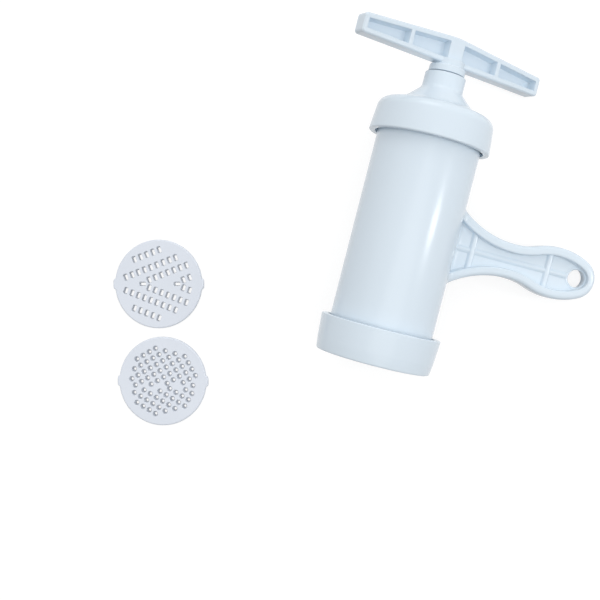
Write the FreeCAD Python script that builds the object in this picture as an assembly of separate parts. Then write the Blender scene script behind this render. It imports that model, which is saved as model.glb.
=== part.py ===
"""Hand-cranked pasta extruder: a screw press with a side handle, a fitted die and two spare dies.

Every piece of the press is drawn upright, in the press's own axes: Z runs along the drive screw from
the outer face of the retaining ring (Z = 0) to the crank, and X points along the side handle. The
finished pieces are then laid down together. In the frame of the part the screw runs along +Y, +Z is up,
and the press lies on a table on its two rims and the tip of its side handle. All lengths are in
millimetres, and angles in degrees.
"""

import FreeCAD
import Part
import math
import os
from FreeCAD import Placement, Rotation, Vector

# ---------------------------------------------------------------- driving dimensions

# Barrel
BARREL_RADIUS = 35.0            # outside
BARREL_WALL = 3.6
BARREL_LENGTH = 161.5

# Side handle, moulded in one piece with the barrel in the real press
HANDLE_HEIGHT = 81.9            # its centre line above the lower end of the barrel
HANDLE_REACH = 136.5            # from the screw's axis to its tip
HANDLE_THICKNESS = 13.0
HANDLE_ROOT = 25.5              # half width where it leaves the barrel
HANDLE_WAIST = 11.9             # half width at its narrowest
HANDLE_BULGE = 17.6             # half width of the grip's end
WAIST_SHARE = 0.3958            # of the way from the barrel to the tip
BULGE_SHARE = 0.715
HANDLE_RIM = 6.0                # width of the raised border
HANDLE_WEB = 3.5                # thickness of the plate between the borders
HANDLE_EDGE = 1.8               # chamfer of the border's outer edges
RIB_WIDTH = 3.0                 # lengthwise rib
CROSS_RIB_WIDTH = 3.8
CROSS_RIB_SHARES = (0.122, 0.664)  # their places on the way from the barrel to the tip
RIB_DROP = 3.0                  # ribs stand this far below the border
HANG_HOLE_FROM_TIP = 12.1
HANG_HOLE_RADIUS = 6.0
HANG_BOSS_WALL = 2.2            # round the hang hole
HANG_BOSS_THICKNESS = 4.2

# Dies
DIE_THICKNESS = 3.5
DIE_INSET = 2.7                 # of the die's rim from the barrel's outside
LUG_LENGTH = 1.4                # two lugs on the rim of each die
LUG_WIDTH = 7.0
HOLE_RADIUS = 1.5               # round-hole die
HOLE_SIDES = 6                  # flats that stand for a hole's round wall
HOLE_PITCH = 5.3
HOLE_MARGIN = 6.85              # no hole's centre lies nearer to the die's rim
HOLE_FIELD_TOP = 24.0           # or further from the midline
HOLE_GRID_ANGLE = 30.0
HOLE_GRID_SHIFT = (0.38, 0.40)  # of the grid from the die's centre, in pitches
HOLE_OVERRUN = 3.6              # the upper half of the pattern reaches this far past the midline
HOLE_LEAST_PITCH = 4.0          # a mirrored hole nearer than this to another is left out
SLOT_LENGTH = 4.5               # slotted die
SLOT_WIDTH = 2.6
SLOT_PITCH = 4.95
CHEVRON_ANGLE = 21.0
SLOT_ROW_STARTS = ((-17.9, 17.8), (-24.2, 4.9), (-6.9, 2.9), (18.6, 2.9))  # rows above the midline
SLOT_COUNTS = (5, 9, 7, 2)      # slots in each of these rows
MIDLINE_SLOTS_AT = (-11.6, 14.0)
STRAND_SIDE = 2.6               # fitted die: square holes in rings
STRAND_RING_STEP = 8.2
STRAND_RINGS = 3

# Retaining ring and cap
THREAD_ROOM = 1.8               # radial room between barrel and skirt for the thread
RIM_WALL = 4.2                  # wall of both at their widest
RING_HEIGHT = 24.3
RING_TAPER = 2.1                # the ring's foot is this much less in radius than its rim
RING_FOOT_EDGE = 1.0            # chamfer
LIP_THICKNESS = 3.0
LIP_OVERLAP = 1.7               # of the lip over the die's rim
DIE_CLEARANCE = 0.4             # round the die in its seat
SEAT_DEPTH = 2.4                # of the die's seat in the ring
CAP_OVERLAP = 17.4              # the skirt reaches this far down the barrel
CAP_TAPER = 2.0                 # the skirt is this much less in radius at the shoulder than at its rim
SHOULDER_HEIGHT = 5.0           # above the barrel's upper end
SHOULDER_ROUNDING = 7.5
FLARE_INSET = 11.3              # from the skirt's inside to where the shoulder turns up to the neck
FLARE_HEIGHT = 7.0
FLARE_ROUNDING = 14.0
NECK_FOOT_HEIGHT = 18.0
NECK_FOOT_ROUNDING = 5.0
NECK_HEIGHT = 28.7
CAP_WALL = 2.5
TURNED_STEP = 36.0              # degrees; roundings of turned pieces are drawn in straight steps up to this

# Drive screw
SCREW_RADIUS = 11.0
SCREW_CLEARANCE = 0.3           # radial, in the neck
SCREW_CHAMFER = 1.2
SHANK_STEP = 1.4                # the shank is this much less in radius than the screw
TANG_SIDE = 13.0                # square that holds the crank
TANG_LENGTH = 7.2
JOURNAL_STEP = 4.0              # the journal in the plunger is this much less in radius than the screw
JOURNAL_CLEARANCE = 0.06        # radial
PILOT_DEPTH = 14.0
END_PLAY = 0.15

# Plunger
PLUNGER_CLEARANCE = 0.4         # radial, in the barrel
PLUNGER_HEIGHT = 14.0
PLUNGER_PLATE = 4.5
PLUNGER_WALL = 2.6
PLUNGER_LIFT = 1.5              # above the die when wound right in
HUB_WALL = 6.0
HUB_HEIGHT = 17.0
HUB_RIBS = 6
HUB_RIB_WIDTH = 2.2
POCKET_STEP = 3.0               # the recess for the screw under the plunger is this much wider than the journal
POCKET_DEPTH = 5.0

# Plunger screw
FLANGE_CLEARANCE = 0.8          # radial, in the plunger's recess
FLANGE_THICKNESS = 1.2
PILOT_CLEARANCE = 0.05          # radial, round the shank in the drive screw
HEAD_RADIUS = 4.2
HEAD_HEIGHT = 2.6
FASTENER_RADIUS = 1.9

# Crank
BAR_LENGTH = 140.6
BAR_DEPTH = 12.0
BAR_END_HEIGHT = 13.0
BAR_MIDDLE_HEIGHT = 18.8
BAR_CORNER = 2.2
BAR_TOP_ROUNDING = 60.0         # of the blunt ridge over the middle
BAR_EDGE = 0.9
BAR_BORDER = 3.4
BAR_END_WALL = 3.2
BAR_HUB = 11.0                  # width of the plain panel in the middle
BAR_RIB = 2.8
BAR_RIB_AT = 34.6               # the upright rib's centre, from the screw's axis
BAR_POCKET_DEPTH = 6.6          # of the upper face's pockets
BAR_WEB = 2.8                   # left between them and the lower face's shallow ones
BAR_DRAFT = 0.9                 # how far a pocket's walls lean in
COLLAR_RADIUS = 12.2
COLLAR_HEIGHT = 4.9
COLLAR_CHAMFER = 0.8
BAR_HUB_RADIUS = 10.4           # the round hub under the bar
COLLAR_NECK = 0.8               # plain height between collar and bar
COLLAR_GAP = 0.8                # above the neck when wound right in
CRANK_ANGLE = 16.0              # of the bar from the side handle's plane

# Spare dies, lying beside the press: their places along X and Y, and how far their lugs are turned from X
SLOTTED_DIE_PLACE = (-165.0, 11.8)
ROUND_DIE_PLACE = (-144.4, -56.0)
SPARE_DIE_TURN = 14.3

# ---------------------------------------------------------------- levels and radii that follow

die_face = LIP_THICKNESS
barrel_foot = LIP_THICKNESS + DIE_THICKNESS
barrel_top = barrel_foot + BARREL_LENGTH
chamber_radius = BARREL_RADIUS - BARREL_WALL
skirt_radius = BARREL_RADIUS + THREAD_ROOM
rim_radius = skirt_radius + RIM_WALL
flare_radius = skirt_radius - FLARE_INSET
nut_radius = SCREW_RADIUS + SCREW_CLEARANCE
neck_radius = nut_radius + CAP_WALL
die_radius = BARREL_RADIUS - DIE_INSET
outlet_radius = die_radius - LIP_OVERLAP
shank_radius = SCREW_RADIUS - SHANK_STEP
journal_radius = SCREW_RADIUS - JOURNAL_STEP
bore_radius = journal_radius + JOURNAL_CLEARANCE
hub_radius = journal_radius + HUB_WALL
pocket_radius = journal_radius + POCKET_STEP
flange_radius = pocket_radius - FLANGE_CLEARANCE
handle_span = HANDLE_REACH - BARREL_RADIUS
waist_at = BARREL_RADIUS + WAIST_SHARE * handle_span
bulge_at = BARREL_RADIUS + BULGE_SHARE * handle_span
hang_hole_at = HANDLE_REACH - HANG_HOLE_FROM_TIP
handle_level = barrel_foot + HANDLE_HEIGHT
neck_top = barrel_top + NECK_HEIGHT
plunger_foot = barrel_foot + PLUNGER_LIFT
pocket_roof = plunger_foot + POCKET_DEPTH
hub_top = plunger_foot + HUB_HEIGHT
journal_end = pocket_roof - END_PLAY
screw_shoulder = hub_top + END_PLAY
collar_foot = neck_top + COLLAR_GAP
bar_foot = collar_foot + COLLAR_HEIGHT + COLLAR_NECK
AXIS = Vector(0, 0, 1)


# ---------------------------------------------------------------- drawing helpers

def rounded_wire(corners, to_space):
    """A closed wire through corners (u, v, rounding), each rounded by a tangent arc."""
    joints = []
    for index, (u, v, rounding) in enumerate(corners):
        here = Vector(u, v, 0)
        before = Vector(corners[index - 1][0], corners[index - 1][1], 0)
        after = Vector(corners[(index + 1) % len(corners)][0], corners[(index + 1) % len(corners)][1], 0)
        back = (before - here).normalize()
        ahead = (after - here).normalize()
        if rounding == 0:
            joints.append((here, None, here))
            continue
        half_angle = back.getAngle(ahead) / 2
        reach = rounding / math.tan(half_angle)
        centre = here + (back + ahead).normalize() * (rounding / math.sin(half_angle))
        middle = centre + (here - centre).normalize() * rounding
        joints.append((here + back * reach, middle, here + ahead * reach))
    edges = []
    for index, (start, middle, end) in enumerate(joints):
        if middle is not None:
            edges.append(Part.Arc(to_space(start), to_space(middle), to_space(end)).toShape())
        next_start = joints[(index + 1) % len(joints)][0]
        if end.distanceToPoint(next_start) > 1e-6:
            edges.append(Part.makeLine(to_space(end), to_space(next_start)))
    return Part.Wire(edges)


def in_section(point):
    """A point of a half section: radius and level."""
    return Vector(point.x, 0, point.y)


def stepped(corners):
    """The corners with each rounding drawn as short straight steps, none turning by more than TURNED_STEP."""
    drawn = []
    for index, (u, v, rounding) in enumerate(corners):
        if rounding == 0:
            drawn.append((u, v, 0))
            continue
        here = Vector(u, v, 0)
        before = Vector(corners[index - 1][0], corners[index - 1][1], 0)
        after = Vector(corners[(index + 1) % len(corners)][0], corners[(index + 1) % len(corners)][1], 0)
        back = (before - here).normalize()
        ahead = (after - here).normalize()
        half_angle = back.getAngle(ahead) / 2
        centre = here + (back + ahead).normalize() * (rounding / math.sin(half_angle))
        start = here + back * (rounding / math.tan(half_angle)) - centre
        turn = math.pi - 2 * half_angle
        sense = 1 if start.cross(here - centre).z > 0 else -1
        steps = math.ceil(math.degrees(turn) / TURNED_STEP)
        for step in range(steps + 1):
            angle = sense * turn * step / steps
            drawn.append((centre.x + start.x * math.cos(angle) - start.y * math.sin(angle),
                          centre.y + start.x * math.sin(angle) + start.y * math.cos(angle), 0))
    return drawn


def revolved(corners):
    """A solid turned about the screw's axis from the corners (radius, level, rounding)."""
    return Part.Face(rounded_wire(stepped(corners), in_section)).revolve(Vector(), AXIS, 360)


def disc(radius, foot, top):
    """A plain cylinder on the screw's axis between two levels."""
    return Part.makeCylinder(radius, top - foot, Vector(0, 0, foot))


def block(width, depth, foot, top, centre=(0, 0)):
    """An upright block about a centre, between two levels."""
    corner = Vector(centre[0] - width / 2, centre[1] - depth / 2, foot)
    return Part.makeBox(width, depth, top - foot, corner)


def turned_about_axis(shape, angle):
    copy = shape.copy()
    copy.rotate(Vector(), AXIS, angle)
    return copy


# ---------------------------------------------------------------- barrel and side handle

def handle_outline(inset):
    """The side handle's outline in the XZ plane, moved inwards by an inset.

    Each side is a flare from the barrel to the waist, an S of two equal arcs from the waist to the
    widest place of the grip, and an arc on to the round tip. All the arcs meet in tangents, so an
    inset only changes their radii.
    """
    flare_run = waist_at - BARREL_RADIUS
    flare_rise = HANDLE_ROOT - HANDLE_WAIST
    flare = (flare_run ** 2 + flare_rise ** 2) / (2 * flare_rise)
    swell_run = bulge_at - waist_at
    swell_rise = HANDLE_BULGE - HANDLE_WAIST
    swell = (swell_run ** 2 + swell_rise ** 2) / (4 * swell_rise)
    tip_run = HANDLE_REACH - bulge_at
    tip = (swell ** 2 - (swell - HANDLE_BULGE) ** 2 - tip_run ** 2) / (2 * (swell - tip_run))
    flare_centre = Vector(waist_at, HANDLE_WAIST + flare, 0)
    waist_centre = Vector(waist_at, HANDLE_WAIST + swell, 0)
    bulge_centre = Vector(bulge_at, HANDLE_BULGE - swell, 0)
    tip_centre = Vector(HANDLE_REACH - tip, 0, 0)

    root_x = chamber_radius
    root_z = flare_centre.y - math.sqrt((flare + inset) ** 2 - (flare_centre.x - root_x) ** 2)
    root = Vector(root_x, root_z, 0)
    waist = Vector(waist_at, HANDLE_WAIST - inset, 0)
    turn = waist_centre + (bulge_centre - waist_centre).normalize() * (swell + inset)
    bulge = Vector(bulge_at, HANDLE_BULGE - inset, 0)
    shoulder = tip_centre + (tip_centre - bulge_centre).normalize() * (tip - inset)
    nose = Vector(HANDLE_REACH - inset, 0, 0)

    def on_arc(centre, start, end):
        """The middle of the arc about a centre from start to end."""
        radius = start.distanceToPoint(centre)
        return centre + ((start - centre).normalize() + (end - centre).normalize()).normalize() * radius

    upper = [(root, on_arc(flare_centre, root, waist), waist),
             (waist, on_arc(waist_centre, waist, turn), turn),
             (turn, on_arc(bulge_centre, turn, shoulder), shoulder)]
    edges = []
    for side in (1, -1):
        for points in upper:
            placed = [Vector(p.x, 0, handle_level + side * p.y) for p in points]
            edges.append(Part.Arc(*placed).toShape())
    over = Vector(shoulder.x, 0, handle_level + shoulder.y)
    under = Vector(shoulder.x, 0, handle_level - shoulder.y)
    edges.append(Part.Arc(over, Vector(nose.x, 0, handle_level), under).toShape())
    edges.append(Part.makeLine(Vector(root.x, 0, handle_level + root.y), Vector(root.x, 0, handle_level - root.y)))
    return Part.Wire(Part.__sortEdges__(edges))


def handle_blank():
    """The handle before its faces are hollowed, with its outer edges chamfered."""
    face = Part.Face(handle_outline(0))
    blank = face.extrude(Vector(0, HANDLE_THICKNESS, 0))
    blank.translate(Vector(0, -HANDLE_THICKNESS / 2, 0))
    long_edges = []
    for edge in blank.Edges:
        ends = [vertex.Point for vertex in edge.Vertexes]
        on_a_face = all(abs(abs(p.y) - HANDLE_THICKNESS / 2) < 1e-6 for p in ends)
        outside = edge.CenterOfMass.x > chamber_radius + 1e-6
        if on_a_face and outside:
            long_edges.append(edge)
    return blank.makeChamfer(HANDLE_EDGE, long_edges)


def handle_ribs():
    """The lengthwise rib, the cross ribs and the boss round the hang hole, as one tool."""
    depth = HANDLE_THICKNESS - 2 * RIB_DROP
    boss_radius = HANG_HOLE_RADIUS + HANG_BOSS_WALL
    rib_end = hang_hole_at - HANG_HOLE_RADIUS - HANG_BOSS_WALL / 2
    ribs = Part.makeBox(rib_end, depth, RIB_WIDTH, Vector(0, -depth / 2, handle_level - RIB_WIDTH / 2))
    for share in CROSS_RIB_SHARES:
        near_face = BARREL_RADIUS + share * handle_span - CROSS_RIB_WIDTH / 2
        corner = Vector(near_face, -depth / 2, handle_level - HANDLE_ROOT)
        ribs = ribs.fuse(Part.makeBox(CROSS_RIB_WIDTH, depth, 2 * HANDLE_ROOT, corner))
    boss = Part.makeCylinder(boss_radius, HANG_BOSS_THICKNESS,
                             Vector(hang_hole_at, -HANG_BOSS_THICKNESS / 2, handle_level), Vector(0, 1, 0))
    return ribs.fuse(boss)


def make_barrel():
    """The barrel's tube. It and the side handle are one moulding, kept as two solids that meet face to face."""
    return disc(BARREL_RADIUS, barrel_foot, barrel_top).cut(disc(chamber_radius, barrel_foot, barrel_top))


def make_side_handle():
    """The side handle: a plate with a raised border, ribs and a hang hole, cut to fit round the barrel."""
    field = Part.Face(handle_outline(HANDLE_RIM))
    hollow = field.extrude(Vector(0, HANDLE_THICKNESS, 0))
    hollow.translate(Vector(0, -HANDLE_THICKNESS / 2, 0))
    web = block(2 * HANDLE_REACH, HANDLE_WEB, 0, barrel_top)
    hollow = hollow.cut(web).cut(handle_ribs())
    hole = Part.makeCylinder(HANG_HOLE_RADIUS, 2 * HANDLE_THICKNESS,
                             Vector(hang_hole_at, -HANDLE_THICKNESS, handle_level), Vector(0, 1, 0))
    handle = handle_blank().cut(hollow).cut(hole)
    return handle.cut(disc(BARREL_RADIUS, 0, 2 * barrel_top)).removeSplitter()


# ---------------------------------------------------------------- cap and retaining ring

def make_top_cap():
    """The screw-on cap: a skirt, a shoulder that sweeps up to the neck, and the neck as the nut."""
    rim = barrel_top - CAP_OVERLAP
    shoulder = barrel_top + SHOULDER_HEIGHT
    ceiling = barrel_top + FLARE_HEIGHT - CAP_WALL
    return revolved([
        (skirt_radius, rim, 0),
        (rim_radius, rim, 0),
        (rim_radius - CAP_TAPER, shoulder, SHOULDER_ROUNDING),
        (flare_radius, barrel_top + FLARE_HEIGHT, FLARE_ROUNDING),
        (neck_radius, barrel_top + NECK_FOOT_HEIGHT, NECK_FOOT_ROUNDING),
        (neck_radius, neck_top, 0),
        (nut_radius, neck_top, 0),
        (nut_radius, ceiling, 0),
        (flare_radius, ceiling, 0),
        (flare_radius, barrel_top, 0),
        (skirt_radius, barrel_top, 0),
    ])


def make_retaining_ring():
    """The ring that screws over the barrel's lower end and clamps the die against it."""
    foot_radius = rim_radius - RING_TAPER
    seat_radius = die_radius + LUG_LENGTH + DIE_CLEARANCE
    seat_top = LIP_THICKNESS + SEAT_DEPTH
    return revolved([
        (outlet_radius, 0, 0),
        (foot_radius - RING_FOOT_EDGE, 0, 0),
        (foot_radius, RING_FOOT_EDGE, 0),
        (rim_radius, RING_HEIGHT, 0),
        (skirt_radius, RING_HEIGHT, 0),
        (skirt_radius, seat_top, 0),
        (seat_radius, seat_top, 0),
        (seat_radius, LIP_THICKNESS, 0),
        (outlet_radius, LIP_THICKNESS, 0),
    ])


# ---------------------------------------------------------------- dies

def die_blank():
    """A plain die: a round plate with two lugs on its rim, standing on level 0."""
    lugs = block(2 * (die_radius + LUG_LENGTH), LUG_WIDTH, 0, DIE_THICKNESS)
    return disc(die_radius, 0, DIE_THICKNESS).fuse(lugs).removeSplitter()


def pierced(blank, cutters):
    return blank.cut(Part.makeCompound(cutters))


def make_fitted_die():
    """The die in use: fine square holes in rings about a hole in the middle."""
    cutters = [block(STRAND_SIDE, STRAND_SIDE, -DIE_THICKNESS, 2 * DIE_THICKNESS)]
    for ring in range(1, STRAND_RINGS + 1):
        hole = block(STRAND_SIDE, STRAND_SIDE, -DIE_THICKNESS, 2 * DIE_THICKNESS, (ring * STRAND_RING_STEP, 0))
        for step in range(6 * ring):
            cutters.append(turned_about_axis(hole, 60 * step / ring))
    die = pierced(die_blank(), cutters)
    die.translate(Vector(0, 0, die_face))
    return die


def round_hole_centres():
    """A turned square grid over the upper half, and its mirror image below wherever that has room."""
    turn = math.radians(HOLE_GRID_ANGLE)
    field_radius = die_radius - HOLE_MARGIN
    reach = int(2 * field_radius / HOLE_PITCH)
    upper = []
    for row in range(-reach, reach + 1):
        for column in range(-reach, reach + 1):
            along = (column + HOLE_GRID_SHIFT[0]) * HOLE_PITCH
            across = (row + HOLE_GRID_SHIFT[1]) * HOLE_PITCH
            x = along * math.cos(turn) - across * math.sin(turn)
            y = along * math.sin(turn) + across * math.cos(turn)
            if -HOLE_OVERRUN <= y <= HOLE_FIELD_TOP and math.hypot(x, y) <= field_radius:
                upper.append((x, y))
    lower = []
    for x, y in upper:
        if min(math.hypot(x - u, -y - v) for u, v in upper) >= HOLE_LEAST_PITCH:
            lower.append((x, -y))
    return upper + lower


def round_hole_cutter(x, y):
    """A prism with many sides, of the same area as the round hole that it cuts."""
    step = 2 * math.pi / HOLE_SIDES
    corner_radius = HOLE_RADIUS * math.sqrt(step / math.sin(step))
    corners = []
    for index in range(HOLE_SIDES):
        angle = (index + 0.5) * step
        corners.append(Vector(x + corner_radius * math.cos(angle), y + corner_radius * math.sin(angle), 0))
    prism = Part.Face(Part.makePolygon(corners + corners[:1])).extrude(AXIS * (3 * DIE_THICKNESS))
    prism.translate(Vector(0, 0, -DIE_THICKNESS))
    return prism


def make_round_hole_die():
    return pierced(die_blank(), [round_hole_cutter(x, y) for x, y in round_hole_centres()])


def slot_cutter(x, y, lean):
    slot = block(SLOT_WIDTH, SLOT_LENGTH, -DIE_THICKNESS, 2 * DIE_THICKNESS)
    slot.rotate(Vector(), AXIS, lean)
    slot.translate(Vector(x, y, 0))
    return slot


def make_slotted_die():
    """Rows of slots in nested chevrons, alike above and below the midline."""
    lean = math.radians(CHEVRON_ANGLE)
    cutters = [slot_cutter(x, 0, 90) for x in MIDLINE_SLOTS_AT]
    for (first_x, first_y), count in zip(SLOT_ROW_STARTS, SLOT_COUNTS):
        for step in range(count):
            x = first_x + step * SLOT_PITCH * math.cos(lean)
            y = first_y + step * SLOT_PITCH * math.sin(lean)
            cutters.append(slot_cutter(x, y, CHEVRON_ANGLE))
            cutters.append(slot_cutter(x, -y, -CHEVRON_ANGLE))
    return pierced(die_blank(), cutters)


# ---------------------------------------------------------------- screw, plunger and crank

def make_drive_screw():
    """The screw: a journal for the plunger, the threaded length and a square tang for the crank."""
    rod = revolved([
        (0, journal_end, 0),
        (journal_radius, journal_end, 0),
        (journal_radius, screw_shoulder, 0),
        (SCREW_RADIUS, screw_shoulder, 0),
        (SCREW_RADIUS, neck_top - SCREW_CHAMFER, 0),
        (shank_radius, neck_top, 0),
        (shank_radius, collar_foot, 0),
        (0, collar_foot, 0),
    ])
    tang = block(TANG_SIDE, TANG_SIDE, collar_foot, collar_foot + TANG_LENGTH)
    pilot = disc(FASTENER_RADIUS + PILOT_CLEARANCE, journal_end, journal_end + PILOT_DEPTH)
    return rod.fuse(turned_about_axis(tang, CRANK_ANGLE)).cut(pilot)


def make_plunger():
    """The plunger: a plate with an upturned wall, a hub that turns on the journal and ribs between."""
    radius = chamber_radius - PLUNGER_CLEARANCE
    plate_top = plunger_foot + PLUNGER_PLATE
    cup_radius = radius - PLUNGER_WALL
    cup = revolved([
        (0, plunger_foot, 0),
        (radius, plunger_foot, 0),
        (radius, plunger_foot + PLUNGER_HEIGHT, 0),
        (cup_radius, plunger_foot + PLUNGER_HEIGHT, 0),
        (cup_radius, plate_top, 0),
        (0, plate_top, 0),
    ])
    spokes = []
    for index in range(HUB_RIBS // 2):
        spoke = block(2 * cup_radius + PLUNGER_WALL, HUB_RIB_WIDTH, plunger_foot,
                      plunger_foot + PLUNGER_HEIGHT - PLUNGER_WALL)
        spokes.append(turned_about_axis(spoke, index * 360 / HUB_RIBS))
    body = cup.fuse([disc(hub_radius, plunger_foot, hub_top)] + spokes)
    bore = disc(bore_radius, plunger_foot, hub_top)
    pocket = disc(pocket_radius, plunger_foot, pocket_roof)
    return body.cut(bore).cut(pocket).removeSplitter()


def make_plunger_screw():
    """The flanged screw that keeps the plunger on the drive screw, driven up from below."""
    flange_foot = journal_end - FLANGE_THICKNESS
    tip = journal_end + PILOT_DEPTH - FASTENER_RADIUS
    return revolved([
        (0, flange_foot - HEAD_HEIGHT, 0),
        (HEAD_RADIUS, flange_foot - HEAD_HEIGHT, 0),
        (HEAD_RADIUS, flange_foot, 0),
        (flange_radius, flange_foot, 0),
        (flange_radius, journal_end, 0),
        (FASTENER_RADIUS, journal_end, 0),
        (FASTENER_RADIUS, tip, 0),
        (0, tip, 0),
    ])


def bar_top(x):
    """The level of the bar's top above its foot, at a distance from the screw's axis."""
    slope = (BAR_MIDDLE_HEIGHT - BAR_END_HEIGHT) / (BAR_LENGTH / 2)
    return BAR_MIDDLE_HEIGHT - slope * abs(x)


def bar_pocket(near, far, side, depth):
    """One pocket of the bar's face towards -Y, between two distances from the axis, to be cut out."""
    mouth_y = -BAR_DEPTH / 2
    floor_y = mouth_y + depth

    def quad(inset, y):
        corners = [
            (near + inset, BAR_BORDER + inset, 0),
            (far - inset, BAR_BORDER + inset, 0),
            (far - inset, bar_top(far) - BAR_BORDER - inset, 0),
            (near + inset, bar_top(near) - BAR_BORDER - inset, 0),
        ]
        return rounded_wire(corners, lambda p: Vector(side * p.x, y, bar_foot + p.y))

    return Part.makeLoft([quad(0, mouth_y), quad(BAR_DRAFT, floor_y)], True, True)


def make_crank():
    """The T-bar crank: a roof-topped bar with four pockets in each face, on a round collar."""
    half = BAR_LENGTH / 2
    outline = rounded_wire([
        (-half, 0, BAR_CORNER),
        (half, 0, BAR_CORNER),
        (half, BAR_END_HEIGHT, BAR_CORNER),
        (0, BAR_MIDDLE_HEIGHT, BAR_TOP_ROUNDING),
        (-half, BAR_END_HEIGHT, BAR_CORNER),
    ], lambda p: Vector(p.x, -BAR_DEPTH / 2, bar_foot + p.y))
    bar = Part.Face(outline).extrude(Vector(0, BAR_DEPTH, 0))
    face_edges = []
    for edge in bar.Edges:
        if all(abs(abs(vertex.Point.y) - BAR_DEPTH / 2) < 1e-6 for vertex in edge.Vertexes):
            if abs(edge.CenterOfMass.y) > BAR_DEPTH / 4:
                face_edges.append(edge)
    bar = bar.makeChamfer(BAR_EDGE, face_edges)
    spans = ((BAR_HUB / 2, BAR_RIB_AT - BAR_RIB / 2), (BAR_RIB_AT + BAR_RIB / 2, half - BAR_END_WALL))
    back_depth = BAR_DEPTH - BAR_POCKET_DEPTH - BAR_WEB
    pockets = []
    for near, far in spans:
        for side in (1, -1):
            pockets.append(bar_pocket(near, far, side, BAR_POCKET_DEPTH))
            pockets.append(turned_about_axis(bar_pocket(near, far, side, back_depth), 180))
    collar = revolved([
        (0, collar_foot, 0),
        (COLLAR_RADIUS, collar_foot, 0),
        (COLLAR_RADIUS, collar_foot + COLLAR_HEIGHT - COLLAR_CHAMFER, 0),
        (COLLAR_RADIUS - COLLAR_CHAMFER, collar_foot + COLLAR_HEIGHT, 0),
        (BAR_HUB_RADIUS, collar_foot + COLLAR_HEIGHT, 0),
        (BAR_HUB_RADIUS, bar_foot + BAR_BORDER, 0),
        (0, bar_foot + BAR_BORDER, 0),
    ])
    socket = block(TANG_SIDE, TANG_SIDE, collar_foot, collar_foot + TANG_LENGTH)
    crank = bar.cut(Part.makeCompound(pockets)).fuse(collar).cut(socket)
    return turned_about_axis(crank.removeSplitter(), CRANK_ANGLE)


# ---------------------------------------------------------------- laying the press down

def lying_angle():
    """How far the side handle droops when its chamfered tip and the two rims all touch the table."""
    reach = HANDLE_REACH - HANDLE_EDGE
    half = HANDLE_THICKNESS / 2
    return math.degrees(math.asin(rim_radius / math.hypot(reach, half))) - math.degrees(math.atan2(half, reach))


def laid_down(shape):
    """Turns an upright piece of the press into the frame of the part."""
    tip_over = Rotation(Vector(1, 0, 0), -90)
    droop = Rotation(Vector(0, 1, 0), lying_angle())
    placed = shape.copy()
    placed.Placement = Placement(Vector(), droop.multiply(tip_over)).multiply(shape.Placement)
    return placed


def laid_beside(die, place):
    """Puts a spare die flat on the table."""
    placed = turned_about_axis(die, SPARE_DIE_TURN)
    placed.translate(Vector(place[0], place[1], -rim_radius))
    return placed


def main():
    os.makedirs("parts", exist_ok=True)
    pieces = {
        "barrel": laid_down(make_barrel()),
        "side_handle": laid_down(make_side_handle()),
        "top_cap": laid_down(make_top_cap()),
        "retaining_ring": laid_down(make_retaining_ring()),
        "fitted_die": laid_down(make_fitted_die()),
        "drive_screw": laid_down(make_drive_screw()),
        "crank_handle": laid_down(make_crank()),
        "plunger": laid_down(make_plunger()),
        "plunger_screw": laid_down(make_plunger_screw()),
        "slotted_die": laid_beside(make_slotted_die(), SLOTTED_DIE_PLACE),
        "round_hole_die": laid_beside(make_round_hole_die(), ROUND_DIE_PLACE),
    }
    for name, shape in pieces.items():
        solid = shape.Solids[0] if len(shape.Solids) == 1 else shape
        print(name, "solids", len(shape.Solids), "valid", shape.isValid(), "volume", round(shape.Volume / 1000, 2))
        solid.exportStep("parts/" + name + ".step")


main()
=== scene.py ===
"""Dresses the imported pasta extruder: moulded forms with soft edges, threads, dies, plastic, light and camera.

The press is described in its own axes, as in the part's source: Z along the drive screw from the outer
face of the retaining ring, X along the side handle, lengths in millimetres. to_row lays it down.
"""
import math

import bmesh
import bpy
from mathutils import Matrix, Vector


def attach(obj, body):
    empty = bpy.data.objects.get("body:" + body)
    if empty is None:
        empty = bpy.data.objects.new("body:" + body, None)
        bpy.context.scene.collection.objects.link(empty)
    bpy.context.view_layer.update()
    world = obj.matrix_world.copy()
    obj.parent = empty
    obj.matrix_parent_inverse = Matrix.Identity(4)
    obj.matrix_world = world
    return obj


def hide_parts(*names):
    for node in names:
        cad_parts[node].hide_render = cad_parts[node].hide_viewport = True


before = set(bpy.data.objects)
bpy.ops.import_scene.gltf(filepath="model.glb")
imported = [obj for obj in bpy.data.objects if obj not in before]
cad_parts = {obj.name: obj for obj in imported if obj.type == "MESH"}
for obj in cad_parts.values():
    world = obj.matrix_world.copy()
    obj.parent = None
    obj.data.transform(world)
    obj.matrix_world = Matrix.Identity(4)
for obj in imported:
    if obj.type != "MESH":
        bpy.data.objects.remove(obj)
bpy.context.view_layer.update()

MM = 0.001

# ---------------------------------------------------------------- sizes of the press, as in the part's source

RIM_RADIUS = 41.0
BARREL_RADIUS = 35.0
CHAMBER_RADIUS = 31.4
SKIRT_RADIUS = 36.8
BARREL_FOOT = 6.5
BARREL_TOP = 168.0

# Retaining ring and cap
RING_TOP = 24.3
RING_FOOT_RADIUS = 38.9
OUTLET_RADIUS = 30.6
SEAT_RADIUS = 34.1
SEAT_TOP = 5.4
RING_PITCH = 6.0                # of the threads at both ends of the barrel
THREAD_HEIGHT = 1.2
CAP_RIM = 150.6
SHOULDER_RADIUS = 39.0
FLARE_RADIUS = 25.5
NECK_FOOT = 186.0
NECK_TOP = 196.7
NECK_RADIUS = 13.8
NECK_BORE = 11.3
CAP_WALL = 2.5

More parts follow.
